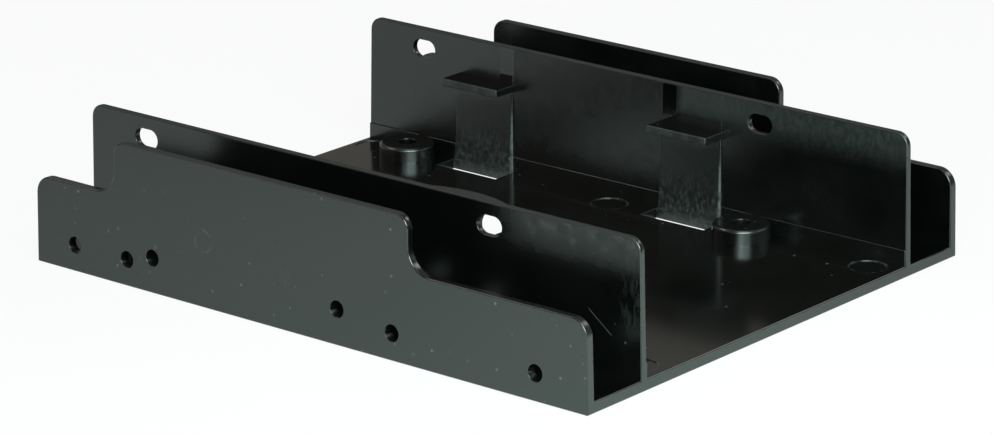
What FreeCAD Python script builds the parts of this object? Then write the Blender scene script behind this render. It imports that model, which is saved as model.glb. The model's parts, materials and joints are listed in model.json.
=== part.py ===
"""Drive bay adapter: one moulded plastic frame that carries two stacked 2.5-inch drives in a 3.5-inch bay.

X runs across the bay, Y along the walls (front is -Y), Z up; the origin is the middle of the underside.
Only the +X half is drawn. It is mirrored, and the gate pad, which sits on one side, is added last.
"""
import FreeCAD
import Part
import Sketcher
import math
import os
import re

NODE = "adapter_frame"
SHEET = "Dimensions"

# Driving sizes in mm and degrees: name, value, what it is.
DRIVING_SIZES = (
    ("overall_width", 101.6, "bay width over the outer walls, at their foot"),
    ("overall_length", 121.4, "length at the foot of the drafted ends"),
    ("wall_height", 25.3, "underside to the top of the inner walls"),
    ("outer_height", 25.2, "underside to the top of the tall middle of the outer walls"),
    ("end_height", 15.65, "underside to the top of the cut-down ends of the outer walls"),
    ("floor_thickness", 2.0, "floor plate"),
    ("outer_wall", 1.8, "outer wall thickness at the floor"),
    ("inner_wall", 1.45, "inner wall thickness at the floor, without the step"),
    ("drive_gap", 71.5, "clear width between the inner walls, above the step at their foot"),
    ("wall_draft", 0.45, "lean of every long wall face"),
    ("end_draft", 1.2, "lean of the end faces"),
    ("rest_height", 4.8, "level of the bosses that carry the lower drive, and of the step beside them"),
    ("foot_step", 0.25, "step along the foot of each inner wall, on its inside"),
    ("tall_front", 23.8, "middle to the front step of the outer wall"),
    ("tall_back", 41.75, "middle to the back step of the outer wall"),
    ("tall_corner_radius", 2.6, "top corners of the tall middle of the outer wall"),
    ("front_step_radius", 4.4, "hollow at the foot of the front step"),
    ("back_step_radius", 4.4, "hollow at the foot of the back step"),
    ("end_corner_radius", 3.2, "top corners of the cut-down ends"),
    ("inner_corner_radius", 2.4, "top corners of the inner walls"),
    ("drive_middle", 8.9, "middle of the drive screw pattern, from the middle of the frame"),
    ("drive_hole_pitch", 76.6, "drive screws, along the drive"),
    ("drive_hole_width", 61.72, "drive underside screws, across the drive"),
    ("drive_hole_rise", 3.0, "drive side screws above the underside of the drive"),
    ("slot_length", 5.2, "side screw slot, over its round ends"),
    ("slot_width", 3.4, "side screw slot"),
    ("boss_diameter", 10.2, "bosses under the lower drive"),
    ("boss_rim", 0.4, "bevel around the top of a boss"),
    ("screw_diameter", 3.4, "underside screw holes"),
    ("head_diameter", 6.5, "recess for the screw head, from below"),
    ("head_depth", 2.8, "depth of that recess"),
    ("upper_rest", 18.3, "level of the lips that carry the upper drive"),
    ("lip_pitch", 47.2, "distance between the two lips of one wall"),
    ("lip_length", 13.0, "lip along the wall"),
    ("lip_reach", 4.75, "lip out of the wall"),
    ("lip_thickness", 1.4, "lip plate"),
    ("pillar_reach", 0.7, "how far the pillar under a lip stands out at the underside"),
    ("pillar_draft", 1.7, "lean of the sides of the pillar"),
    ("window_length", 14.0, "floor window below a lip, along the wall"),
    ("window_margin", 0.85, "floor window beyond the edge of the lip"),
    ("opening_width", 36.0, "opening in the floor, across"),
    ("opening_length", 27.0, "opening in the floor, along"),
    ("opening_front", 5.0, "front edge of that opening, behind the middle"),
    ("opening_radius", 2.0, "corners of that opening"),
    ("bay_hole_diameter", 2.9, "bay screw holes in the outer walls"),
    ("bay_hole_rise", 4.75, "end and intermediate bay holes above the underside"),
    ("near_hole_rise", 6.25, "the closer pair of bay holes above the underside"),
    ("end_hole_middle", 0.7, "middle of the end pair of bay holes"),
    ("end_hole_pitch", 101.6, "end pair of bay holes"),
    ("mid_hole_middle", 9.4, "middle of the intermediate pair of bay holes"),
    ("mid_hole_pitch", 59.4, "intermediate pair of bay holes"),
    ("near_hole_middle", 12.3, "middle of the closer pair of bay holes"),
    ("near_hole_pitch", 41.6, "closer pair of bay holes"),
    ("mark_diameter", 6.5, "ejector pin marks"),
    ("mark_depth", 0.15, "depth of an ejector pin mark"),
    ("mark_offset", 31.7, "ejector pin marks from the middle, across"),
    ("mark_middle", 0.4, "middle ejector pin mark, along"),
    ("mark_pitch", 56.0, "ejector pin marks, along"),
    ("gate_middle", 24.2, "gate pad in front of the middle"),
    ("gate_radius", 19.7, "bulge of the gate pad, in plan"),
    ("gate_reach", 1.7, "gate pad out of the wall at the top"),
    ("gate_height", 6.0, "gate pad down from the top of the wall"),
    ("bite", 0.6, "how far an added feature runs into the wall it stands on"),
    ("margin", 3.0, "how far a cutting outline stands clear of the solid"),
)

# Plain lengths that several features share, written in terms of the driving sizes.
HALF_WIDTH = "overall_width / 2"
HALF_LENGTH = "overall_length / 2"
WALL_INSIDE = "drive_gap / 2"
WALL_OUTSIDE = "(drive_gap / 2 + inner_wall)"
CHANNEL_OUTSIDE = "(overall_width / 2 - outer_wall)"
CHANNEL_MIDDLE = "((drive_gap / 2 + inner_wall + overall_width / 2 - outer_wall) / 2)"
WALL_RISE = "(wall_height - floor_thickness)"
OUTER_RISE = "(outer_height - floor_thickness)"
CLEAR_TOP = "(max(wall_height; outer_height) + margin)"
STEP_RISE = "(wall_height - rest_height)"
WALL_LEAN = "tan(wall_draft * 1 deg)"
END_LEAN = "tan(end_draft * 1 deg)"
LIP_EDGE = "(drive_gap / 2 - lip_reach)"
SLOT_LEVEL = "upper_rest + drive_hole_rise"
DRIVE_ROWS = ("drive_middle + drive_hole_pitch / 2", "drive_middle - drive_hole_pitch / 2")
LIP_ROWS = ("drive_middle + lip_pitch / 2", "drive_middle - lip_pitch / 2")

ORIGIN_POINT = (-1, 1)
SAME_PLACE = 1e-4


def write_sheet(doc):
    """Put each driving size into a cell of its own, named by its alias."""
    sheet = doc.addObject("Spreadsheet::Sheet", SHEET)
    for row, (name, value, note) in enumerate(DRIVING_SIZES, start=1):
        sheet.set(f"A{row}", name)
        sheet.set(f"B{row}", str(value))
        sheet.set(f"C{row}", note)
        sheet.setAlias(f"B{row}", name)
    doc.recompute()
    return sheet


def on_sheet(length):
    """The expression for a length: each driving name in it becomes a reference to its cell."""
    names = {name for name, _, _ in DRIVING_SIZES}

    def refer(found):
        word = found.group()
        return f"{SHEET}.{word}" if word in names else word
    return re.sub("[a-z_]+", refer, length)


def bind(feature, prop, length):
    """Tie one property of a feature to the driving sizes."""
    feature.setExpression(prop, on_sheet(length))


def origin_feature(body, role):
    """The body's own plane or axis with this role."""
    return next(item for item in body.Origin.OriginFeatures if item.Role == role)


def add_sketch(body, name, plane, level="0"):
    """An empty sketch on one of the body's planes, moved along that plane's normal by the level."""
    sketch = body.newObject("Sketcher::SketchObject", name)
    sketch.AttachmentSupport = [(origin_feature(body, plane), "")]
    sketch.MapMode = "FlatFace"
    bind(sketch, "AttachmentOffset.Base.z", level)
    return sketch


def fix(sketch, kind, place, present, length):
    """Hold one measure of the sketch, at present this large, to a length; place is what it acts on."""
    index = sketch.addConstraint(Sketcher.Constraint(kind, *place, present))
    bind(sketch, f"Constraints[{index}]", length)


def fix_point(sketch, item, end, point):
    """Hold one point of a sketch item at a place given as two lengths."""
    present = sketch.getPoint(item, end)
    place = (*ORIGIN_POINT, item, end)
    fix(sketch, "DistanceX", place, present.x, point[0])
    fix(sketch, "DistanceY", place, present.y, point[1])


def draw_polygon(sketch, corners):
    """A closed outline through the corners, each given as two lengths."""
    count = len(corners)
    turn = FreeCAD.Rotation(FreeCAD.Vector(0, 0, 1), 360.0 / count)
    start = FreeCAD.Vector(1, 0, 0)
    items = []
    for _ in corners:
        end = turn.multVec(start)
        items.append(sketch.addGeometry(Part.LineSegment(start, end), False))
        start = end
    for place, corner in enumerate(corners):
        after = items[(place + 1) % count]
        sketch.addConstraint(Sketcher.Constraint("Coincident", items[place], 2, after, 1))
        fix_point(sketch, items[place], 1, corner)


def draw_rectangle(sketch, across, along):
    """A rectangle between two lengths in each direction."""
    (left, right), (low, high) = across, along
    draw_polygon(sketch, ((left, low), (right, low), (right, high), (left, high)))


def draw_circle(sketch, centre, diameter):
    """A circle with its centre given as two lengths."""
    circle = Part.Circle(FreeCAD.Vector(0, 0, 0), FreeCAD.Vector(0, 0, 1), 1.0)
    item = sketch.addGeometry(circle, False)
    fix_point(sketch, item, 3, centre)
    fix(sketch, "Diameter", (item,), 2 * circle.Radius, diameter)


def draw_half_round(sketch, side):
    """Half a circle of radius 1 that closes a slot on its right (side 1) or left (side -1)."""
    circle = Part.Circle(FreeCAD.Vector(side, 0, 0), FreeCAD.Vector(0, 0, 1), 1.0)
    start = -side * math.pi / 2
    return sketch.addGeometry(Part.ArcOfCircle(circle, start, start + math.pi), False)


def draw_slot(sketch, centre, length, width):
    """A slot with round ends, lying along the sketch's first axis."""
    right = draw_half_round(sketch, 1)
    left = draw_half_round(sketch, -1)
    corner = FreeCAD.Vector(1, 1, 0)
    top = sketch.addGeometry(Part.LineSegment(corner, FreeCAD.Vector(-1, 1, 0)), False)
    bottom = sketch.addGeometry(Part.LineSegment(-corner, FreeCAD.Vector(1, -1, 0)), False)
    for first, first_end, second, second_end in (
        (right, 2, top, 1), (top, 2, left, 1), (left, 2, bottom, 1), (bottom, 2, right, 1),
    ):
        sketch.addConstraint(Sketcher.Constraint("Tangent", first, first_end, second, second_end))
    sketch.addConstraint(Sketcher.Constraint("Equal", right, left))
    half = f"({length} - {width}) / 2"
    fix_point(sketch, right, 3, (f"{centre[0]} + {half}", centre[1]))
    fix_point(sketch, left, 3, (f"{centre[0]} - {half}", centre[1]))
    fix(sketch, "Radius", (right,), 1.0, f"{width} / 2")


def finish_feature(body, feature, sketch):
    """Make the feature the body's latest step, rebuild and stop if its shape is broken."""
    body.Tip = feature
    body.Document.recompute()
    if not feature.Shape.isValid():
        raise RuntimeError(f"{feature.Name} from {sketch.Name} is not a valid solid")
    return feature


def add_pad(body, name, sketch, length, both_ways=False, lean=None):
    """Add the sketch's outline as material along its normal; a lean narrows it on the way."""
    body.Document.recompute()
    pad = body.newObject("PartDesign::Pad", name)
    pad.Profile = sketch
    pad.SideType = "Symmetric" if both_ways else "One side"
    bind(pad, "Length", length)
    if lean:
        bind(pad, "TaperAngle", f"0 - {lean}")
    return finish_feature(body, pad, sketch)


def add_pocket(body, name, sketch, length=None, along_normal=True, both_ways=False):
    """Cut the outline away along its normal, against it or both ways; without a length, through all."""
    body.Document.recompute()
    before = body.Tip.Shape.Volume
    pocket = body.newObject("PartDesign::Pocket", name)
    pocket.Profile = sketch
    pocket.Reversed = along_normal
    pocket.SideType = "Symmetric" if both_ways else "One side"
    if length:
        bind(pocket, "Length", length)
    else:
        pocket.Type = "ThroughAll"
    finish_feature(body, pocket, sketch)
    if pocket.Shape.Volume >= before:
        raise RuntimeError(f"{name} removes nothing")
    return pocket


def add_fillet(body, name, radius, wanted):
    """Round the edges of the latest step that the test picks out."""
    base = body.Tip
    edges = [f"Edge{i}" for i, edge in enumerate(base.Shape.Edges, start=1) if wanted(edge)]
    if not edges:
        raise RuntimeError(f"{name} finds no edge to round")
    fillet = body.newObject("PartDesign::Fillet", name)
    fillet.Base = (base, edges)
    bind(fillet, "Radius", radius)
    body.Tip = fillet
    body.Document.recompute()
    return fillet


def close(first, second):
    """Whether two lengths are the same."""
    return abs(first - second) < SAME_PLACE


def runs_along(edge, direction):
    """Whether a straight edge runs in this direction."""
    ends = [vertex.Point for vertex in edge.Vertexes]
    if len(ends) != 2:
        return False
    return (ends[1] - ends[0]).cross(direction).Length < SAME_PLACE


def crosswise_edge(level, span):
    """A test for edges that run across the frame at one level and lie in one span of X."""
    def wanted(edge):
        centre = edge.CenterOfMass
        inside = span[0] < centre.x < span[1]
        return inside and close(centre.z, level) and runs_along(edge, FreeCAD.Vector(1, 0, 0))
    return wanted


def add_section(body):
    """The cross-section, floor and both drafted walls, run along the whole length."""
    sketch = add_sketch(body, "SectionSketch", "XZ_Plane")
    draw_polygon(sketch, (
        ("0", "0"),
        (HALF_WIDTH, "0"),
        (f"{HALF_WIDTH} - outer_height * {WALL_LEAN}", "outer_height"),
        (f"{CHANNEL_OUTSIDE} + {OUTER_RISE} * {WALL_LEAN}", "outer_height"),
        (CHANNEL_OUTSIDE, "floor_thickness"),
        (WALL_OUTSIDE, "floor_thickness"),
        (f"{WALL_OUTSIDE} - {WALL_RISE} * {WALL_LEAN}", "wall_height"),
        (f"{WALL_INSIDE} + {STEP_RISE} * {WALL_LEAN}", "wall_height"),
        (WALL_INSIDE, "rest_height"),
        (f"{WALL_INSIDE} - foot_step", "rest_height"),
        (f"{WALL_INSIDE} - foot_step", "floor_thickness"),
        ("0", "floor_thickness"),
    ))
    add_pad(body, "Section", sketch, "overall_length", both_ways=True)


def trim_ends(body):
    """Cut both ends back to their draft."""
    sketch = add_sketch(body, "EndTrimSketch", "YZ_Plane")
    for side in ("-1", "1"):
        draw_polygon(sketch, (
            (f"{side} * {HALF_LENGTH}", "0"),
            (f"{side} * ({HALF_LENGTH} + margin)", "0"),
            (f"{side} * ({HALF_LENGTH} + margin)", CLEAR_TOP),
            (f"{side} * ({HALF_LENGTH} - {CLEAR_TOP} * {END_LEAN})", CLEAR_TOP),
        ))
    add_pocket(body, "EndTrim", sketch)


def cut_down_wall_ends(body):
    """Lower both ends of the outer wall, so that a driver reaches the slots in the inner wall."""
    sketch = add_sketch(body, "WallEndSketch", "YZ_Plane", CHANNEL_MIDDLE)
    heights = ("end_height", CLEAR_TOP)
    draw_rectangle(sketch, (f"0 - {HALF_LENGTH} - margin", "0 - tall_front"), heights)
    draw_rectangle(sketch, ("tall_back", f"{HALF_LENGTH} + margin"), heights)
    add_pocket(body, "WallEnds", sketch)


def round_wall_outlines(body, sheet):
    """Round the corners and steps of the wall outlines."""
    top, tall, low = (sheet.get(name) for name in ("wall_height", "outer_height", "end_height"))
    wide = sheet.get("overall_width")
    middle = (sheet.get("drive_gap") / 2 + sheet.get("inner_wall") + wide / 2 - sheet.get("outer_wall")) / 2
    inner_span, outer_span = (0, middle), (middle, wide)
    front, back = -sheet.get("tall_front"), sheet.get("tall_back")
    at_low = crosswise_edge(low, outer_span)

    add_fillet(body, "InnerCorners", "inner_corner_radius", crosswise_edge(top, inner_span))
    add_fillet(body, "TallCorners", "tall_corner_radius", crosswise_edge(tall, outer_span))
    add_fillet(body, "FrontStep", "front_step_radius",
               lambda edge: at_low(edge) and close(edge.CenterOfMass.y, front))
    add_fillet(body, "BackStep", "back_step_radius",
               lambda edge: at_low(edge) and close(edge.CenterOfMass.y, back))
    hollow_front = front - sheet.get("front_step_radius") - SAME_PLACE
    hollow_back = back + sheet.get("back_step_radius") + SAME_PLACE
    add_fillet(body, "EndCorners", "end_corner_radius",
               lambda edge: at_low(edge) and not hollow_front < edge.CenterOfMass.y < hollow_back)


def cut_slots(body):
    """Slots in both inner walls for the side screws of the upper drive."""
    sketch = add_sketch(body, "SlotSketch", "YZ_Plane")
    for row in DRIVE_ROWS:
        draw_slot(sketch, (row, SLOT_LEVEL), "slot_length", "slot_width")
    add_pocket(body, "Slots", sketch, f"2 * {CHANNEL_MIDDLE}", both_ways=True)


def cut_bay_holes(body):
    """Screw holes in the outer wall: three pairs, of which the closest sits higher."""
    sketch = add_sketch(body, "BayHoleSketch", "YZ_Plane", CHANNEL_MIDDLE)
    for pair, level in (("end", "bay_hole_rise"), ("mid", "bay_hole_rise"), ("near", "near_hole_rise")):
        for sign in "+-":
            along = f"{pair}_hole_middle {sign} {pair}_hole_pitch / 2"
            draw_circle(sketch, (along, level), "bay_hole_diameter")
    add_pocket(body, "BayHoles", sketch)


def add_boss(body, name, row):
    """One boss of the lower drive, turned about its own upright axis, with its rim bevelled."""
    sketch = add_sketch(body, f"{name}Sketch", "XZ_Plane", f"0 - ({row})")
    axis, edge = "drive_hole_width / 2", "drive_hole_width / 2 + boss_diameter / 2"
    draw_polygon(sketch, (
        (axis, "0"),
        (edge, "0"),
        (edge, "rest_height - boss_rim"),
        (f"{edge} - boss_rim", "rest_height"),
        (axis, "rest_height"),
    ))
    boss = body.newObject("PartDesign::Revolution", name)
    boss.Profile = sketch
    boss.ReferenceAxis = (sketch, ["Edge5"])
    boss.Angle = 360.0
    finish_feature(body, boss, sketch)


def drill_bosses(body):
    """The screw hole through each boss, with a recess for the screw head from below."""
    axis = "drive_hole_width / 2"
    for name, diameter, depth in (
        ("ScrewHoles", "screw_diameter", "rest_height + margin"),
        ("HeadRecesses", "head_diameter", "head_depth"),
    ):
        sketch = add_sketch(body, f"{name}Sketch", "XY_Plane")
        for row in DRIVE_ROWS:
            draw_circle(sketch, (axis, row), diameter)
        add_pocket(body, name, sketch, depth)


def add_lips(body):
    """The lips that carry the upper drive, each on a pillar that widens towards the floor."""
    lips = add_sketch(body, "LipSketch", "XY_Plane", "upper_rest - lip_thickness")
    pillars = add_sketch(body, "PillarSketch", "XY_Plane")
    for row in LIP_ROWS:
        draw_rectangle(lips, (LIP_EDGE, f"{WALL_INSIDE} + bite"),
                       (f"{row} - lip_length / 2", f"{row} + lip_length / 2"))
        draw_rectangle(pillars, (f"{WALL_INSIDE} - pillar_reach", f"{WALL_INSIDE} + 2 * bite"),
                       (f"{row} - window_length / 2", f"{row} + window_length / 2"))
    add_pad(body, "Lips", lips, "lip_thickness")
    add_pad(body, "Pillars", pillars, "upper_rest - lip_thickness / 2", lean="pillar_draft")


def cut_floor(body):
    """The windows below the lips and the opening in the middle of the floor."""
    sketch = add_sketch(body, "WindowSketch", "XY_Plane")
    for row in LIP_ROWS:
        draw_rectangle(sketch, (f"{LIP_EDGE} - window_margin", f"{WALL_INSIDE} - pillar_reach"),
                       (f"{row} - window_length / 2", f"{row} + window_length / 2"))
    add_pocket(body, "Windows", sketch, "floor_thickness")
    sketch = add_sketch(body, "OpeningSketch", "XY_Plane")
    draw_rectangle(sketch, ("0", "opening_width / 2"), ("opening_front", "opening_front + opening_length"))
    add_pocket(body, "Opening", sketch, "floor_thickness")


def round_opening(body, sheet):
    """Round the two upright corners of the floor opening."""
    side = sheet.get("opening_width") / 2

    def wanted(edge):
        centre = edge.CenterOfMass
        return close(centre.x, side) and runs_along(edge, FreeCAD.Vector(0, 0, 1))
    add_fillet(body, "OpeningCorners", "opening_radius", wanted)


def sink_ejector_marks(body):
    """The shallow round marks of the ejector pins in the floor."""
    sketch = add_sketch(body, "MarkSketch", "XY_Plane", "floor_thickness")
    for along in ("mark_middle - mark_pitch", "mark_middle", "mark_middle + mark_pitch"):
        draw_circle(sketch, ("mark_offset", along), "mark_diameter")
    add_pocket(body, "EjectorMarks", sketch, "mark_depth", along_normal=False)


def mirror_half(body):
    """The other half of the frame."""
    mirror = body.newObject("PartDesign::Mirrored", "OtherHalf")
    mirror.TransformMode = "Whole shape"
    mirror.MirrorPlane = (origin_feature(body, "YZ_Plane"), [""])
    body.Tip = mirror
    body.Document.recompute()


def draw_gate_outline(body, name, level, reach):
    """A flat arc that stands out of the -X wall by the reach, closed by a chord inside the wall."""
    sketch = add_sketch(body, name, "XY_Plane", level)
    circle = Part.Circle(FreeCAD.Vector(-2, 0, 0), FreeCAD.Vector(0, 0, 1), 2.0)
    arc = sketch.addGeometry(Part.ArcOfCircle(circle, -1.0, 1.0), False)
    ends = sketch.getPoint(arc, 2), sketch.getPoint(arc, 1)
    chord = sketch.addGeometry(Part.LineSegment(*ends), False)
    sketch.addConstraint(Sketcher.Constraint("Coincident", arc, 2, chord, 1))
    sketch.addConstraint(Sketcher.Constraint("Coincident", chord, 2, arc, 1))
    rise = f"({reach} + bite)"
    half = f"sqrt(2 * gate_radius * {rise} - {rise} * {rise})"
    fix_point(sketch, chord, 1, (f"0 - {WALL_INSIDE} - bite", f"{half} - gate_middle"))
    fix_point(sketch, chord, 2, (f"0 - {WALL_INSIDE} - bite", f"0 - {half} - gate_middle"))
    centre = f"{reach} - {WALL_INSIDE} - gate_radius"
    fix(sketch, "DistanceX", (*ORIGIN_POINT, arc, 3), circle.Center.x, centre)
    return sketch


def add_gate_pad(body):
    """The thickening at the top of one inner wall where the plastic was let in."""
    lean = f"{STEP_RISE} * {WALL_LEAN}"
    top = draw_gate_outline(body, "GateTopSketch", "wall_height", f"gate_reach - {lean}")
    foot = draw_gate_outline(body, "GateFootSketch", "wall_height - gate_height", f"0 - {lean}")
    body.Document.recompute()
    pad = body.newObject("PartDesign::AdditiveLoft", "GatePad")
    pad.Profile = top
    pad.Sections = [foot]
    pad.Ruled = True
    finish_feature(body, pad, top)


def build_frame(doc, sheet):
    """The whole frame as one body."""
    body = doc.addObject("PartDesign::Body", "AdapterFrame")
    body.Label = NODE
    add_section(body)
    trim_ends(body)
    cut_down_wall_ends(body)
    round_wall_outlines(body, sheet)
    cut_bay_holes(body)
    for name, row in zip(("BackBoss", "FrontBoss"), DRIVE_ROWS):
        add_boss(body, name, row)
    drill_bosses(body)
    add_lips(body)
    cut_floor(body)
    round_opening(body, sheet)
    sink_ejector_marks(body)
    mirror_half(body)
    add_gate_pad(body)
    cut_slots(body)
    return body


def check_document(doc):
    """Stop if any object failed or any shape is missing or broken."""
    for item in doc.Objects:
        if "Invalid" in item.State or "Error" in item.State:
            raise RuntimeError(f"{item.Name} failed: {item.State}")
        shape = getattr(item, "Shape", None)
        if shape is None or item.isDerivedFrom("App::OriginFeature"):
            continue
        if shape.isNull() or not shape.isValid():
            raise RuntimeError(f"{item.Name} has no valid shape")


def main():
    """Build the frame, check it and write its file."""
    doc = FreeCAD.newDocument("drive_bay_adapter")
    sheet = write_sheet(doc)
    body = build_frame(doc, sheet)
    doc.recompute()
    check_document(doc)
    if len(body.Shape.Solids) != 1:
        raise RuntimeError("the frame is not one solid")
    os.makedirs("parts", exist_ok=True)
    body.Shape.exportStep(f"parts/{body.Label}.step")


main()
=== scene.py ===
"""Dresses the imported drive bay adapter: one black moulding with rounded edges, on a pale studio table."""

import json
import math

import bmesh
import bpy
from mathutils import Matrix, Vector


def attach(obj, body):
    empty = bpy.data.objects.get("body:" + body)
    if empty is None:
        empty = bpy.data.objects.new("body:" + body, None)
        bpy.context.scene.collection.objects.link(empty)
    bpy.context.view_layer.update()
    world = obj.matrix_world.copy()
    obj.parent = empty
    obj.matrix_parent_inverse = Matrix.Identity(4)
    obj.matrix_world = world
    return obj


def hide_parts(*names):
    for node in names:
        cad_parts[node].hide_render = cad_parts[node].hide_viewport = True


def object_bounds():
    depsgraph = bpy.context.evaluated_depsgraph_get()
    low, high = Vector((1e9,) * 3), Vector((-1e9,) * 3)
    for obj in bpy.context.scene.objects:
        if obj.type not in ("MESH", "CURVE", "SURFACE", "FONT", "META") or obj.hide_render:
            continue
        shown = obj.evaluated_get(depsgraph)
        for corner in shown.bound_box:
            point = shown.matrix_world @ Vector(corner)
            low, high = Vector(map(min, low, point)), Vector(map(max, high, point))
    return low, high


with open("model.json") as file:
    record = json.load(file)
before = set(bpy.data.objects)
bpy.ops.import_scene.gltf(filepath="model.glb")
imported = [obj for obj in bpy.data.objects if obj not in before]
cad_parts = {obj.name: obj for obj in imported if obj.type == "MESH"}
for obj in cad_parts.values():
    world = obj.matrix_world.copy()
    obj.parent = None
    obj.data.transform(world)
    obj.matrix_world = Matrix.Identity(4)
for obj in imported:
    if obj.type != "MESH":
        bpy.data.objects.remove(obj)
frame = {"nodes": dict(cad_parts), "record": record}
CAD_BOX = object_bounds()

bl_info = {
    "name": "Drive bay adapter",
    "version": (1, 0, 0),
    "blender": (4, 5, 0),
    "location": "3D View > Sidebar > Adapter",
    "description": "Builds the moulded drive bay adapter and its studio stage around the packed frame",
    "category": "Object",
}

NODE = "adapter_frame"
PIECE = "adapter_moulding"
MM = 0.001

# Sizes of the moulding that its finish and its cuts follow, in millimetres
WALL_TOP = CAD_BOX[1].z / MM
FLOOR_TOP = 2.0
FLOOR_EDGE = 35.3
BOSS_TOP = 4.8
WALL_INSIDE = 35.75
WALL_OUTSIDE = 37.2
OUTER_WALL = 50.0
DRIVE_MIDDLE = 8.9
LIP_PLACE = 23.6
LIP_MIDDLES = (DRIVE_MIDDLE - LIP_PLACE, DRIVE_MIDDLE + LIP_PLACE)
LIP_LENGTH = 13.0
LIP_START = LIP_PLACE - LIP_LENGTH / 2
LIP_TOP = 18.3
LIP_UNDERSIDE = 16.9
LIP_EDGE = 31.0
PILLAR_FACE = 35.05
PILLAR_LENGTH = 14.0
PILLAR_LEAN = math.tan(math.radians(1.7))
PIN_OFFSET = 31.7
PIN_PLACES = (-55.6, 0.4, 56.4)
PIN_RADIUS = 3.25
OPENING_MIDDLE = 18.5

# Walls lean and faces have rounded edges, so each face is taken between two limits, in millimetres
INSIDE_FACE = (WALL_INSIDE - 0.4, WALL_INSIDE + 0.45)
OUTSIDE_FACE = (WALL_OUTSIDE - 0.25, WALL_OUTSIDE + 0.1)
LEFT_OUTSIDE_FACE = (-WALL_OUTSIDE - 0.1, -WALL_OUTSIDE + 0.25)
FLOOR_FACE = (FLOOR_TOP - 0.3, FLOOR_TOP + 0.1)
LIP_TOP_FACE = (LIP_TOP - 0.1, LIP_TOP + 0.1)
LIP_EDGE_FACE = (LIP_EDGE - 0.3, LIP_EDGE + 0.3)
# Past every part of the moulding
BEYOND = 99.0

# A scratch, as its rise along the wall and its level, and a round mark, in millimetres
SCRATCH_SLOPE = 0.756
SCRATCH_LEVEL = 49.53
SCRATCH_ENDS = (-54.4, -50.1)
RING_MIDDLE = (-50.6, 21.2, 11.7)
RING_RADIUS = 1.9

# Roughness of each finish, from the polished mould's own to dust
LIP_TOP_ROUGHNESS = 0.04
STRIP_ROUGHNESS = 0.07
FLOOR_ROUGHNESS = 0.14
FRESH_ROUGHNESS = 0.2
OUTSIDE_ROUGHNESS = 0.25
CLOUDY_ROUGHNESS = 0.28
BETWEEN_ROUGHNESS = 0.3
MOTTLED_ROUGHNESS = 0.38
PILLAR_ROUGHNESS = 0.4
FILM_ROUGHNESS = 0.42
RUBBED_ROUGHNESS = 0.5
SCUFFED_ROUGHNESS = 0.55
DUST_ROUGHNESS = 0.8

# ABS has an IOR of about 1.53; it is raised to match how strongly the walls shine at a low angle
PLASTIC_IOR = 1.7
# How deep the mould's grain is, in millimetres
GRAIN_DEPTH = 0.003

# Points this close are one, and the rim of a hole lies this near its middle, in millimetres
SAME_PLACE = 0.002
HOLE_REACH = 3.0
# A bend below the first angle is flat, and one above the second is an edge
FLAT_BEND = math.radians(0.2)
CLEAR_CORNER = math.radians(42)
# The most of a narrow face that its rounded edge may take
NARROW_SHARE = 0.45

# How white the table shows to the camera and in reflections, and its gap below the floor in millimetres
WHITE_SEEN = 0.9
WHITE_MIRRORED = 0.15
TABLE_GAP = 0.05


def linear(code, alpha=1.0):
    """The linear colour of an sRGB hex value such as #0c0d0d."""
    levels = [int(code[at:at + 2], 16) / 255 for at in (1, 3, 5)]
    return [v / 12.92 if v <= 0.04045 else ((v + 0.055) / 1.055) ** 2.4 for v in levels] + [alpha]


def add_node(tree, kind, inputs=(), **settings):
    """Add a shader node with its settings, fill its inputs, named or in order, and return its outputs."""
    node = tree.nodes.new(f"ShaderNode{kind}")
    for name, value in settings.items():
        setattr(node, name, value)
    for name, value in inputs.items() if isinstance(inputs, dict) else enumerate(inputs):
        if isinstance(value, bpy.types.NodeSocket):
            tree.links.new(value, node.inputs[name])
        else:
            node.inputs[name].default_value = value
    return node.outputs


def new_material(name):
    """An empty node material."""
    material = bpy.data.materials.new(name)
    material.use_nodes = True
    material.node_tree.nodes.clear()
    return material


class AdapterMoulding(bpy.types.PropertyGroup):
    """Edges and finish of the moulding."""

    edge_radius: bpy.props.FloatProperty(
        name="Edge radius", description="Rounding of the outer edges",
        default=0.25 * MM, min=0.0, precision=5, unit="LENGTH")
    fine_radius: bpy.props.FloatProperty(
        name="Fine edge radius", description="Rounding of the edges of screw holes and slots",
        default=0.1 * MM, min=0.0, precision=5, unit="LENGTH")
    fresh: bpy.props.StringProperty(
        name="Fresh colour", description="sRGB hex value of the clean plastic", default="#030403")
    cloudy: bpy.props.StringProperty(
        name="Cloudy colour", description="sRGB hex value of its paler clouds", default="#080908")
    # The rubbed colour also paints a highlight on the rims of the ejector pin marks
    rubbed: bpy.props.StringProperty(
        name="Rubbed colour", description="sRGB hex value of rubbed and dragged places", default="#3a3d3c")
    # The haze colour also paints light along the tops of the inner walls
    haze_and_painted_light: bpy.props.StringProperty(
        name="Haze colour", description="sRGB hex value of finger marks and dull film", default="#252928")
    # The dust colour also paints a highlight along the pillars' front edges
    dust: bpy.props.StringProperty(
        name="Dust colour", description="sRGB hex value of dust specks", default="#565a58")


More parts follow.
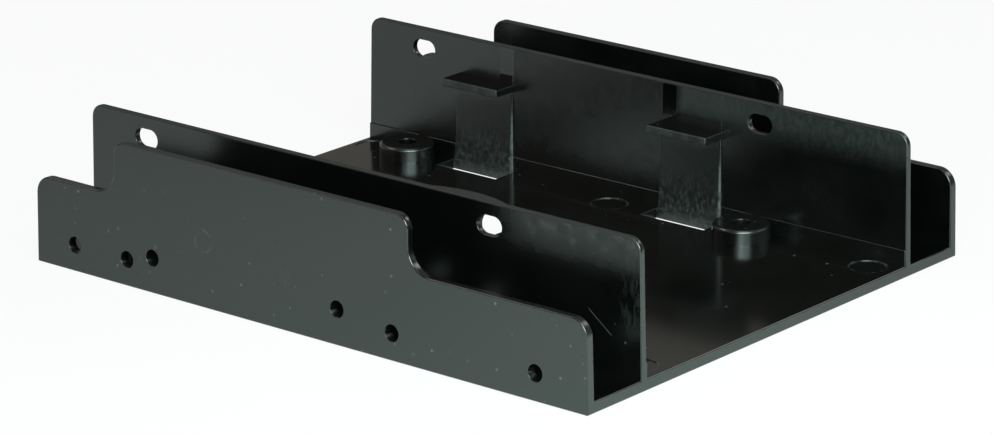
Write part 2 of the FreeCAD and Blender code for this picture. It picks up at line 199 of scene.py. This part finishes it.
class AdapterStage(bpy.types.PropertyGroup):
    """Table, light and camera."""

    table_size: bpy.props.FloatProperty(
        name="Table size", description="Side of the table", default=6.0, min=0.5, unit="LENGTH")
    table_colour: bpy.props.StringProperty(
        name="Table colour", description="sRGB hex value of the table", default="#e6eae9")
    room_colour: bpy.props.StringProperty(
        name="Room colour", description="sRGB hex value of the room's even light", default="#fffcf2")
    room_strength: bpy.props.FloatProperty(
        name="Room strength", description="Strength of the room's even light", default=0.22, min=0.0)
    eye: bpy.props.FloatVectorProperty(
        name="Eye", description="Place of the camera",
        default=(-540.2 * MM, -451.9 * MM, 235.1 * MM), size=3, subtype="TRANSLATION", unit="LENGTH")
    azimuth: bpy.props.FloatProperty(
        name="Azimuth", description="Turn of the camera about the upright axis",
        default=math.radians(-50.09), subtype="ANGLE")
    elevation: bpy.props.FloatProperty(
        name="Elevation", description="Angle that the camera looks down by",
        default=math.radians(17.91), subtype="ANGLE")
    roll: bpy.props.FloatProperty(
        name="Roll", description="Turn of the camera about its own axis",
        default=math.radians(-0.29), subtype="ANGLE")
    lens: bpy.props.FloatProperty(
        name="Lens", description="Focal length in millimetres, on a 36 mm sensor",
        default=155.9, min=1.0, subtype="DISTANCE_CAMERA", unit="CAMERA")


def patch(tree, *limits, over=1.0):
    """The share given by over, where every value lies within its limits.

    Each limit holds the value, its low end, its high end and the margin over which the share fades out.
    """
    share = over
    for value, low, high, margin in limits:
        middle, reach = (low + high) / 2, (high - low) / 2
        if margin:
            offset = add_node(tree, "Math", (value, middle), operation="SUBTRACT")[0]
            offset = add_node(tree, "Math", (offset,), operation="ABSOLUTE")[0]
            within = add_node(tree, "MapRange", (offset, reach, reach + margin, 1.0, 0.0),
                              interpolation_type="SMOOTHSTEP")[0]
        else:
            within = add_node(tree, "Math", (value, middle, reach), operation="COMPARE")[0]
        share = add_node(tree, "Math", (share, within), operation="MULTIPLY")[0]
    return share


def pattern(tree, place, sizes, low, high, weak=0.0):
    """Noise with grains of these sizes along X, Y and Z in mm, spread from weak at low to 1 at high."""
    spread = add_node(tree, "VectorMath", (place, sizes), operation="DIVIDE")[0]
    cloud = add_node(tree, "TexNoise", {"Vector": spread, "Scale": 1.0, "Detail": 3.0})[0]
    return add_node(tree, "MapRange", (cloud, low, high, weak, 1.0), interpolation_type="SMOOTHSTEP")[0]


def specks(tree, place, spacing, size):
    """Round specks about a spacing apart, of random sizes up to the largest, both in millimetres."""
    cells = add_node(tree, "TexVoronoi", {"Vector": place, "Scale": 1 / spacing})
    # Half of the cells stay empty, and the other specks differ in size and in strength
    chance = add_node(tree, "SeparateColor", (cells["Color"],))
    reach = add_node(tree, "MapRange", (chance[0], 0.5, 1.0, 0.0, size / spacing))[0]
    depth = add_node(tree, "Math", (reach, cells["Distance"]), operation="SUBTRACT")[0]
    speck = add_node(tree, "MapRange", (depth, 0.0, 0.4 * size / spacing, 0.0, 1.0))[0]
    return add_node(tree, "Math", (speck, chance[1]), operation="MULTIPLY")[0]


def finish_places(tree):
    """Where a point of the moulding is, in mm: as a vector, and as the measures its finish follows."""
    place = add_node(tree, "TexCoord")["Object"]
    place = add_node(tree, "VectorMath", {0: place, "Scale": 1 / MM}, operation="SCALE")[0]
    x, y, z = add_node(tree, "SeparateXYZ", (place,)).values()
    across = add_node(tree, "Math", (x,), operation="ABSOLUTE")[0]
    along = add_node(tree, "Math", (y, DRIVE_MIDDLE), operation="SUBTRACT")[0]
    middle = add_node(tree, "Math", (along,), operation="ABSOLUTE")[0]
    # How far it is to the middle of the nearer lip: both lie equally far from the middle of the drives
    lip = add_node(tree, "Math", (middle, LIP_PLACE), operation="SUBTRACT")[0]
    lip = add_node(tree, "Math", (lip,), operation="ABSOLUTE")[0]
    return place, {"x": x, "y": y, "z": z, "across": across, "middle": middle, "lip": lip}


def moulding_marks(tree, place, at):
    """Where the mould left the surface smoother or duller, as a share, no colour and a roughness each."""
    inside = (at["across"], *INSIDE_FACE, 0.0)
    outside = (at["across"], *OUTSIDE_FACE, 0.0)
    # The floor is smooth
    yield patch(tree, (at["z"], *FLOOR_FACE, 0.0)), None, FLOOR_ROUGHNESS
    # The inner walls are duller between the lips, above their foot, in mottles 2 mm wide
    between = ((at["middle"], -LIP_START, LIP_START, 0.0), (at["z"], 11.0, BEYOND, 6.0))
    yield patch(tree, inside, *between), None, BETWEEN_ROUGHNESS
    mottled = pattern(tree, place, (2.5, 2.0, 2.0), 0.35, 0.7)
    yield patch(tree, inside, *between, over=mottled), None, MOTTLED_ROUGHNESS
    # Their outside has smudges 2 mm wide at the upper front
    yield patch(tree, outside), None, OUTSIDE_ROUGHNESS
    smudges = pattern(tree, place, (3.0, 2.0, 2.0), 0.3, 0.65)
    upper_front = ((at["z"], WALL_TOP - 4.0, BEYOND, 3.0), (at["y"], -BEYOND, -40.0, 12.0))
    yield patch(tree, outside, *upper_front, over=smudges), None, RUBBED_ROUGHNESS
    # A strip 3 mm wide at the inner end of each lip is as bright as the polished mould left it
    strip = (at["middle"], LIP_START, LIP_START + 3.0, 0.0)
    yield patch(tree, inside, strip, (at["z"], LIP_TOP, BEYOND, 0.0)), None, STRIP_ROUGHNESS
    # So are the tops of the lips
    lip_top = ((at["lip"], 0.0, LIP_LENGTH / 2, 0.0), (at["across"], LIP_EDGE, WALL_INSIDE, 0.0),
               (at["z"], *LIP_TOP_FACE, 0.0))
    yield patch(tree, *lip_top), None, LIP_TOP_ROUGHNESS


def handling_marks(tree, place, at):
    """Film and rubbing on the inner walls, with painted light and shade among them, as a share, a colour
    setting and a roughness each.
    """
    inside = (at["across"], *INSIDE_FACE, 0.0)
    # Finger film on the upper front, mottled at about 1 mm: a paler band along the wall tops that is partly
    # dull film and partly painted light, where light falls above the shade lower down
    mottled = pattern(tree, place, (1.2, 0.9, 1.5), 0.3, 0.7, 0.6)
    film_and_lit_band = ((at["z"], WALL_TOP - 2.0, BEYOND, 6.0), (at["y"], -BEYOND, -13.0, 2.0))
    yield patch(tree, inside, *film_and_lit_band, over=mottled), "haze_and_painted_light", FILM_ROUGHNESS
    # Pillars are dull and paler below, their tops left dark under the lip as painted shade, and rubbed
    # towards the foot in blotches 0.6 mm wide and 1 mm tall
    pillar = ((at["lip"], 0.0, PILLAR_LENGTH / 2, 0.05),
              (at["across"], PILLAR_FACE - 0.15, WALL_INSIDE, 0.0))
    yield patch(tree, *pillar, (at["z"], -BEYOND, 13.0, 3.0)), "cloudy", PILLAR_ROUGHNESS
    blotches = pattern(tree, place, (2.0, 0.6, 1.0), 0.35, 0.85)
    yield patch(tree, *pillar, (at["z"], -BEYOND, 2.0, 12.0), over=blotches), "rubbed", RUBBED_ROUGHNESS
    # Their front edges, which lean back to the wall as they rise, are pale in a line 0.2 mm wide, partly
    # wear and partly a painted edge highlight
    wear_and_highlight = pattern(tree, place, (1.5, 1.5, 1.0), 0.3, 0.6, 0.3)
    face = add_node(tree, "Math", (at["z"], -PILLAR_LEAN, at["across"]), operation="MULTIPLY_ADD")[0]
    for middle in LIP_MIDDLES:
        front = middle - PILLAR_LENGTH / 2
        edge = ((at["y"], front - 0.3, front + 0.7, 0.0),
                (face, PILLAR_FACE - 0.1, PILLAR_FACE + 0.1, 0.05), (at["z"], -BEYOND, 11.0, 3.0))
        yield patch(tree, *edge, over=wear_and_highlight), "dust", RUBBED_ROUGHNESS
    # Lips are dull along their edge, and rubbed in places 1.5 mm wide
    lip_edge = ((at["lip"], 0.0, LIP_LENGTH / 2 + 0.1, 0.0), (at["across"], *LIP_EDGE_FACE, 0.0),
                (at["z"], LIP_UNDERSIDE - 0.1, LIP_TOP + 0.1, 0.0))
    yield patch(tree, *lip_edge), "cloudy", SCUFFED_ROUGHNESS
    rubbed = pattern(tree, place, (2.0, 1.5, 2.0), 0.35, 0.7)
    yield patch(tree, *lip_edge, over=rubbed), "haze_and_painted_light", RUBBED_ROUGHNESS
    # Lines 0.2 mm wide, in dots of 0.6 mm, run up the wall from the front ends of the lips
    dots = pattern(tree, place, (0.6, 0.6, 0.6), 0.45, 0.6)
    for middle in LIP_MIDDLES:
        front = middle - LIP_LENGTH / 2
        line = ((at["z"], LIP_TOP, BEYOND, 0.0), (at["y"], front - 0.1, front + 0.1, 0.05))
        yield patch(tree, inside, *line, over=dots), "rubbed", RUBBED_ROUGHNESS


def stray_marks(tree, place, at):
    """Scuffs, a scratch, round marks, a painted rim highlight and dust, as a share, a colour setting and a
    roughness each.
    """
    left_outside = (at["x"], *LEFT_OUTSIDE_FACE, 0.0)
    # Scuffs 0.6 mm wide at the front end of the left inner wall, and one thin scratch across it
    scuffs = pattern(tree, place, (2.0, 0.6, 2.2), 0.4, 0.9)
    front_end = ((at["y"], -BEYOND, -57.5, 2.0), (at["z"], 12.0, 21.0, 4.0))
    yield patch(tree, left_outside, *front_end, over=scuffs), "haze_and_painted_light", RUBBED_ROUGHNESS
    tilted = add_node(tree, "Math", (at["y"], -SCRATCH_SLOPE, at["z"]), operation="MULTIPLY_ADD")[0]
    scratch = ((at["y"], *SCRATCH_ENDS, 0.3), (tilted, SCRATCH_LEVEL - 0.07, SCRATCH_LEVEL + 0.07, 0.08))
    yield patch(tree, left_outside, *scratch), "rubbed", RUBBED_ROUGHNESS
    # A round mark on the left outer wall, a broken ring 0.2 mm wide
    broken = pattern(tree, place, (2.0, 1.5, 2.0), 0.35, 0.7)
    reach = add_node(tree, "VectorMath", (place, RING_MIDDLE), operation="DISTANCE")["Value"]
    ring = ((reach, RING_RADIUS - 0.1, RING_RADIUS + 0.1, 0.1), (at["x"], -BEYOND, -OUTER_WALL, 0.0))
    yield patch(tree, *ring, over=broken), "rubbed", RUBBED_ROUGHNESS
    # The rims of the ejector pin marks are paler in an equally broken line: partly rubbing, partly a painted
    # highlight of a raised rim
    folded = add_node(tree, "CombineXYZ", (at["across"], at["y"], at["z"]))[0]
    for along in PIN_PLACES:
        pin = (PIN_OFFSET, along, FLOOR_TOP)
        reach = add_node(tree, "VectorMath", (folded, pin), operation="DISTANCE")["Value"]
        rim = ((reach, PIN_RADIUS - 0.1, PIN_RADIUS + 0.15, 0.1), (at["z"], FLOOR_TOP - 0.3, BEYOND, 0.0))
        yield patch(tree, *rim, over=broken), "rubbed", PILLAR_ROUGHNESS
    # Wall tops are scuffed dull
    yield patch(tree, (at["z"], WALL_TOP - 0.25, BEYOND, 0.2)), "cloudy", SCUFFED_ROUGHNESS
    # Dust up to 0.35 mm, a speck every few millimetres, much of it faint
    yield specks(tree, place, 2.2, 0.35), "dust", DUST_ROUGHNESS


def moulded_plastic(settings):
    """Black ABS from a polished mould: deep black with soft reflections, and the marks of use on top, some
    of them painted light and shade.
    """
    material = new_material("Black ABS, moulded")
    tree = material.node_tree
    place, at = finish_places(tree)
    # Flow clouds, 14 mm across, and the mould's fine grain, drawn at 0.5 mm so that it shows
    clouds = pattern(tree, place, (14.0, 14.0, 14.0), 0.3, 0.7)
    grain = pattern(tree, place, (0.5, 0.5, 0.5), 0.0, 1.0)
    colour = add_node(tree, "Mix", {0: clouds, 6: linear(settings.fresh), 7: linear(settings.cloudy)},
                      data_type="RGBA")[2]
    gloss = add_node(tree, "MapRange", (clouds, 0.0, 1.0, FRESH_ROUGHNESS, CLOUDY_ROUGHNESS))[0]
    # Each mark lies over those before it
    for marks in (moulding_marks, handling_marks, stray_marks):
        for share, shade, roughness in marks(tree, place, at):
            gloss = add_node(tree, "Mix", {0: share, 2: gloss, 3: roughness})[0]
            if shade:
                tint = linear(getattr(settings, shade))
                colour = add_node(tree, "Mix", {0: share, 6: colour, 7: tint}, data_type="RGBA")[2]
    bump = add_node(tree, "Bump", {"Height": grain, "Distance": GRAIN_DEPTH * MM, "Strength": 1.0})[0]
    shader = add_node(tree, "BsdfPrincipled", {
        "Base Color": colour, "Roughness": gloss, "Normal": bump, "IOR": PLASTIC_IOR})[0]
    add_node(tree, "OutputMaterial", {"Surface": shader})
    return material


def screw_holes():
    """The middle and the direction of each screw hole and slot, from the record's mounts."""
    for mount in frame["record"]["mounts"]:
        if mount["kind"] != "bolt_pattern":
            continue
        middle, axis, sizes = Vector(mount["pos_m"]), Vector(mount["axis"]), mount["dims"]
        upright = axis.z != 0
        shift_x = sizes["spacing_x_mm"] / 2 * MM if upright else 0.0
        shift_y = sizes["spacing_y_mm" if upright else "spacing_x_mm"] / 2 * MM
        for side_x in (-1, 1) if upright else (1,):
            for side_y in (-1, 1):
                yield middle + Vector((side_x * shift_x, side_y * shift_y, 0.0)), axis


def at_hole(point, holes):
    """Whether a point lies on the rim of a screw hole or slot."""
    for middle, axis in holes:
        offset = point - middle
        depth, radius = abs(offset.dot(axis)), offset.cross(axis).length
        if max(depth, radius) < HOLE_REACH * MM:
            return True
    return False


def cut_across(mesh, row):
    """Cut the floor and its bosses across one row of holes, between the walls."""
    faces = []
    for face in mesh.faces:
        middle = face.calc_center_median() / MM
        if abs(middle.x) < FLOOR_EDGE and middle.z < BOSS_TOP + SAME_PLACE:
            faces.append(face)
    edges = {edge for face in faces for edge in face.edges}
    verts = {vert for face in faces for vert in face.verts}
    cut = bmesh.ops.bisect_plane(mesh, geom=[*faces, *edges, *verts], dist=SAME_PLACE * MM,
                                 plane_co=(0.0, row, 0.0), plane_no=(0.0, 1.0, 0.0))
    for part in cut["geom_cut"]:
        if isinstance(part, bmesh.types.BMEdge):
            part.seam = True


def merged_copy(node, holes):
    """A bmesh of a CAD node with its flat faces made whole, apart from cuts across the floor's holes.

    Without the cuts, the floor would have to reach around its holes, and its rounded edges would cross.
    """
    mesh = bmesh.new()
    mesh.from_mesh(frame["nodes"][node].data)
    bmesh.ops.remove_doubles(mesh, verts=mesh.verts, dist=SAME_PLACE * MM)
    bmesh.ops.dissolve_degenerate(mesh, edges=mesh.edges, dist=SAME_PLACE * MM)
    rows = {round(middle.y, 6) for middle, axis in holes if axis.z}
    rows |= {row * MM for row in (*LIP_MIDDLES, *PIN_PLACES, OPENING_MIDDLE)}
    for row in sorted(rows):
        cut_across(mesh, row)
    bmesh.ops.dissolve_limit(mesh, angle_limit=FLAT_BEND, delimit={"SEAM"},
                             verts=mesh.verts, edges=mesh.edges)
    return mesh


def room_beside(loop):
    """How far a face reaches inwards from the middle of one of its edges."""
    start, end = loop.vert.co, loop.link_loop_next.vert.co
    middle, along = (start + end) / 2, (end - start).normalized()
    inward = loop.face.normal.cross(along)
    room = loop.face.calc_perimeter()
    for edge in loop.face.edges:
        first, second = (vert.co - middle for vert in edge.verts)
        before, after = first.dot(along), second.dot(along)
        if before * after < 0 and edge != loop.edge:
            reach = first.lerp(second, before / (before - after)).dot(inward)
            if 0 < reach < room:
                room = reach
    return room


def edge_radius(edge, holes, settings):
    """How far to round an edge: outward corners only, finely at holes and beside narrow faces."""
    if not edge.is_manifold or not edge.is_convex or edge.calc_face_angle() < CLEAR_CORNER:
        return 0.0
    if at_hole((edge.verts[0].co + edge.verts[1].co) / 2, holes):
        return settings.fine_radius
    return min(settings.edge_radius, NARROW_SHARE * min(room_beside(loop) for loop in edge.link_loops))


def weigh_edges(mesh, holes, settings):
    """Give each edge its share of the full edge radius."""
    weights = mesh.edges.layers.float.new("bevel_weight_edge")
    for edge in mesh.edges:
        edge[weights] = edge_radius(edge, holes, settings) / settings.edge_radius


def mark_corners(mesh):
    """Shade every face smoothly, but break the shading at the corners that are left."""
    for face in mesh.faces:
        face.smooth = True
    for edge in mesh.edges:
        edge.smooth = edge.is_manifold and edge.calc_face_angle() < CLEAR_CORNER


class ADAPTER_OT_moulding(bpy.types.Operator):
    """Build the moulding with rounded edges in place of its plain solid"""

    bl_idname = "adapter.moulding"
    bl_label = "Moulding"

    def execute(self, context):
        settings = context.scene.adapter_moulding
        holes = list(screw_holes())
        mesh = merged_copy(NODE, holes)
        weigh_edges(mesh, holes, settings)
        data = bpy.data.meshes.new(PIECE)
        mesh.to_mesh(data)
        piece = bpy.data.objects.new(PIECE, data)
        context.scene.collection.objects.link(piece)
        rounding = piece.modifiers.new("Rounded edges", "BEVEL")
        rounding.limit_method = "WEIGHT"
        rounding.width = settings.edge_radius
        rounding.affect = "EDGES"
        rounding.segments = 3
        rounding.profile = 0.5
        rounding.material = -1
        rounding.use_clamp_overlap = False
        rounding.loop_slide = False
        # The rounding is made part of the mesh, so that the corners it leaves can be marked
        mesh.clear()
        mesh.from_object(piece, context.evaluated_depsgraph_get())
        piece.modifiers.remove(rounding)
        bmesh.ops.remove_doubles(mesh, verts=mesh.verts, dist=SAME_PLACE * MM)
        mark_corners(mesh)
        mesh.to_mesh(data)
        mesh.free()
        data.materials.append(moulded_plastic(settings))
        normals = piece.modifiers.new("Even shading", "WEIGHTED_NORMAL")
        normals.mode = "FACE_AREA"
        normals.keep_sharp = True
        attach(piece, "root")
        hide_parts(NODE)
        return {"FINISHED"}


def pale_table(colour):
    """White laminate: seen as plain white that keeps its shadow, and partly so where it is mirrored."""
    material = new_material("White laminate")
    tree = material.node_tree
    lit = add_node(tree, "BsdfDiffuse", {"Color": linear(colour)})[0]
    white = add_node(tree, "Emission", {"Color": linear("#ffffff"), "Strength": 1.0})[0]
    path = add_node(tree, "LightPath")
    rays = (path["Is Glossy Ray"], path["Is Transmission Ray"])
    mirrored = add_node(tree, "Math", rays, operation="MAXIMUM")[0]
    mirrored = add_node(tree, "Math", (mirrored, WHITE_MIRRORED), operation="MULTIPLY")[0]
    seen = (path["Is Camera Ray"], WHITE_SEEN, mirrored)
    share = add_node(tree, "Math", seen, operation="MULTIPLY_ADD")[0]
    mix = add_node(tree, "MixShader", (share, lit, white))[0]
    add_node(tree, "OutputMaterial", {"Surface": mix})
    return material


def room_light(context, colour, strength):
    """A dim even room, white where the camera looks past the table."""
    world = bpy.data.worlds.new("Studio room")
    world.use_nodes = True
    tree = world.node_tree
    tree.nodes.clear()
    room = add_node(tree, "Background", {"Color": linear(colour), "Strength": strength})[0]
    white = add_node(tree, "Background", {"Color": linear("#ffffff"), "Strength": 1.0})[0]
    path = add_node(tree, "LightPath")
    mix = add_node(tree, "MixShader", (path["Is Camera Ray"], room, white))[0]
    add_node(tree, "OutputWorld", {"Surface": mix})
    context.scene.world = world


def add_softbox(context, name, place, width, height, radiance, colour="#ffffff"):
    """A softbox of a width and height in metres that faces the object, as bright as its radiance says."""
    lamp = bpy.data.lights.new(name, "AREA")
    lamp.shape = "RECTANGLE"
    lamp.size = width
    lamp.size_y = height
    lamp.color = linear(colour)[:3]
    lamp.energy = radiance * math.pi * width * height
    holder = bpy.data.objects.new(name, lamp)
    holder.location = place
    holder.rotation_euler = Vector(place).to_track_quat("Z", "Y").to_euler()
    holder.visible_camera = False
    context.scene.collection.objects.link(holder)


class ADAPTER_OT_stage(bpy.types.Operator):
    """Build the table, the studio light and the camera"""

    bl_idname = "adapter.stage"
    bl_label = "Stage"

    def execute(self, context):
        settings = context.scene.adapter_stage
        mesh = bmesh.new()
        bmesh.ops.create_grid(mesh, x_segments=1, y_segments=1, size=settings.table_size / 2,
                              matrix=Matrix.Translation((0.0, 0.0, -TABLE_GAP * MM)))
        data = bpy.data.meshes.new("table")
        mesh.to_mesh(data)
        mesh.free()
        table = bpy.data.objects.new("table", data)
        context.scene.collection.objects.link(table)
        data.materials.append(pale_table(settings.table_colour))
        room_light(context, settings.room_colour, settings.room_strength)
        add_softbox(context, "front softbox", place=(-0.13, -0.21, 0.15), width=0.2, height=0.16,
                    radiance=10.6, colour="#defff8")
        add_softbox(context, "camera softbox", place=(-0.98, -0.62, 0.44), width=0.6, height=0.3,
                    radiance=6.0, colour="#ecfffb")
        add_softbox(context, "top softbox", place=(-0.2, -0.3, 1.3), width=0.6, height=0.5,
                    radiance=2.0, colour="#ecfffb")
        add_softbox(context, "back softbox", place=(-0.45, 0.9, 1.1), width=0.6, height=0.4, radiance=3.2)
        add_softbox(context, "right softbox", place=(0.95, -0.41, 0.79), width=0.4, height=0.3, radiance=3.0)
        lens = bpy.data.cameras.new("camera")
        lens.lens = settings.lens
        lens.clip_start = 0.01
        camera = bpy.data.objects.new("camera", lens)
        turn = (Matrix.Rotation(settings.azimuth, 4, "Z")
                @ Matrix.Rotation(math.pi / 2 - settings.elevation, 4, "X")
                @ Matrix.Rotation(settings.roll, 4, "Z"))
        camera.matrix_world = Matrix.Translation(settings.eye) @ turn
        context.scene.collection.objects.link(camera)
        context.scene.camera = camera
        context.scene.view_settings.view_transform = "Standard"
        return {"FINISHED"}


class ADAPTER_PT_sidebar(bpy.types.Panel):
    """Lists the sizes, the finish and the steps that build the scene."""

    bl_label = "Drive bay adapter"
    bl_idname = "ADAPTER_PT_sidebar"
    bl_space_type = "VIEW_3D"
    bl_region_type = "UI"
    bl_category = "Adapter"

    def draw(self, context):
        steps = {"adapter_moulding": "adapter.moulding", "adapter_stage": "adapter.stage"}
        for group, operator in steps.items():
            settings = getattr(context.scene, group)
            column = self.layout.column()
            for name in settings.__annotations__:
                column.prop(settings, name)
            column.operator(operator)


CLASSES = (AdapterMoulding, AdapterStage, ADAPTER_OT_moulding, ADAPTER_OT_stage, ADAPTER_PT_sidebar)


def register():
    """Register the classes and hang the settings on the scene."""
    for cls in CLASSES:
        bpy.utils.register_class(cls)
    bpy.types.Scene.adapter_moulding = bpy.props.PointerProperty(type=AdapterMoulding)
    bpy.types.Scene.adapter_stage = bpy.props.PointerProperty(type=AdapterStage)


def unregister():
    """Take the settings off the scene and unregister the classes."""
    del bpy.types.Scene.adapter_stage
    del bpy.types.Scene.adapter_moulding
    for cls in reversed(CLASSES):
        bpy.utils.unregister_class(cls)


def main():
    """Build the scene in order."""
    register()
    bpy.ops.adapter.moulding()
    bpy.ops.adapter.stage()


if __name__ == "__main__":
    main()
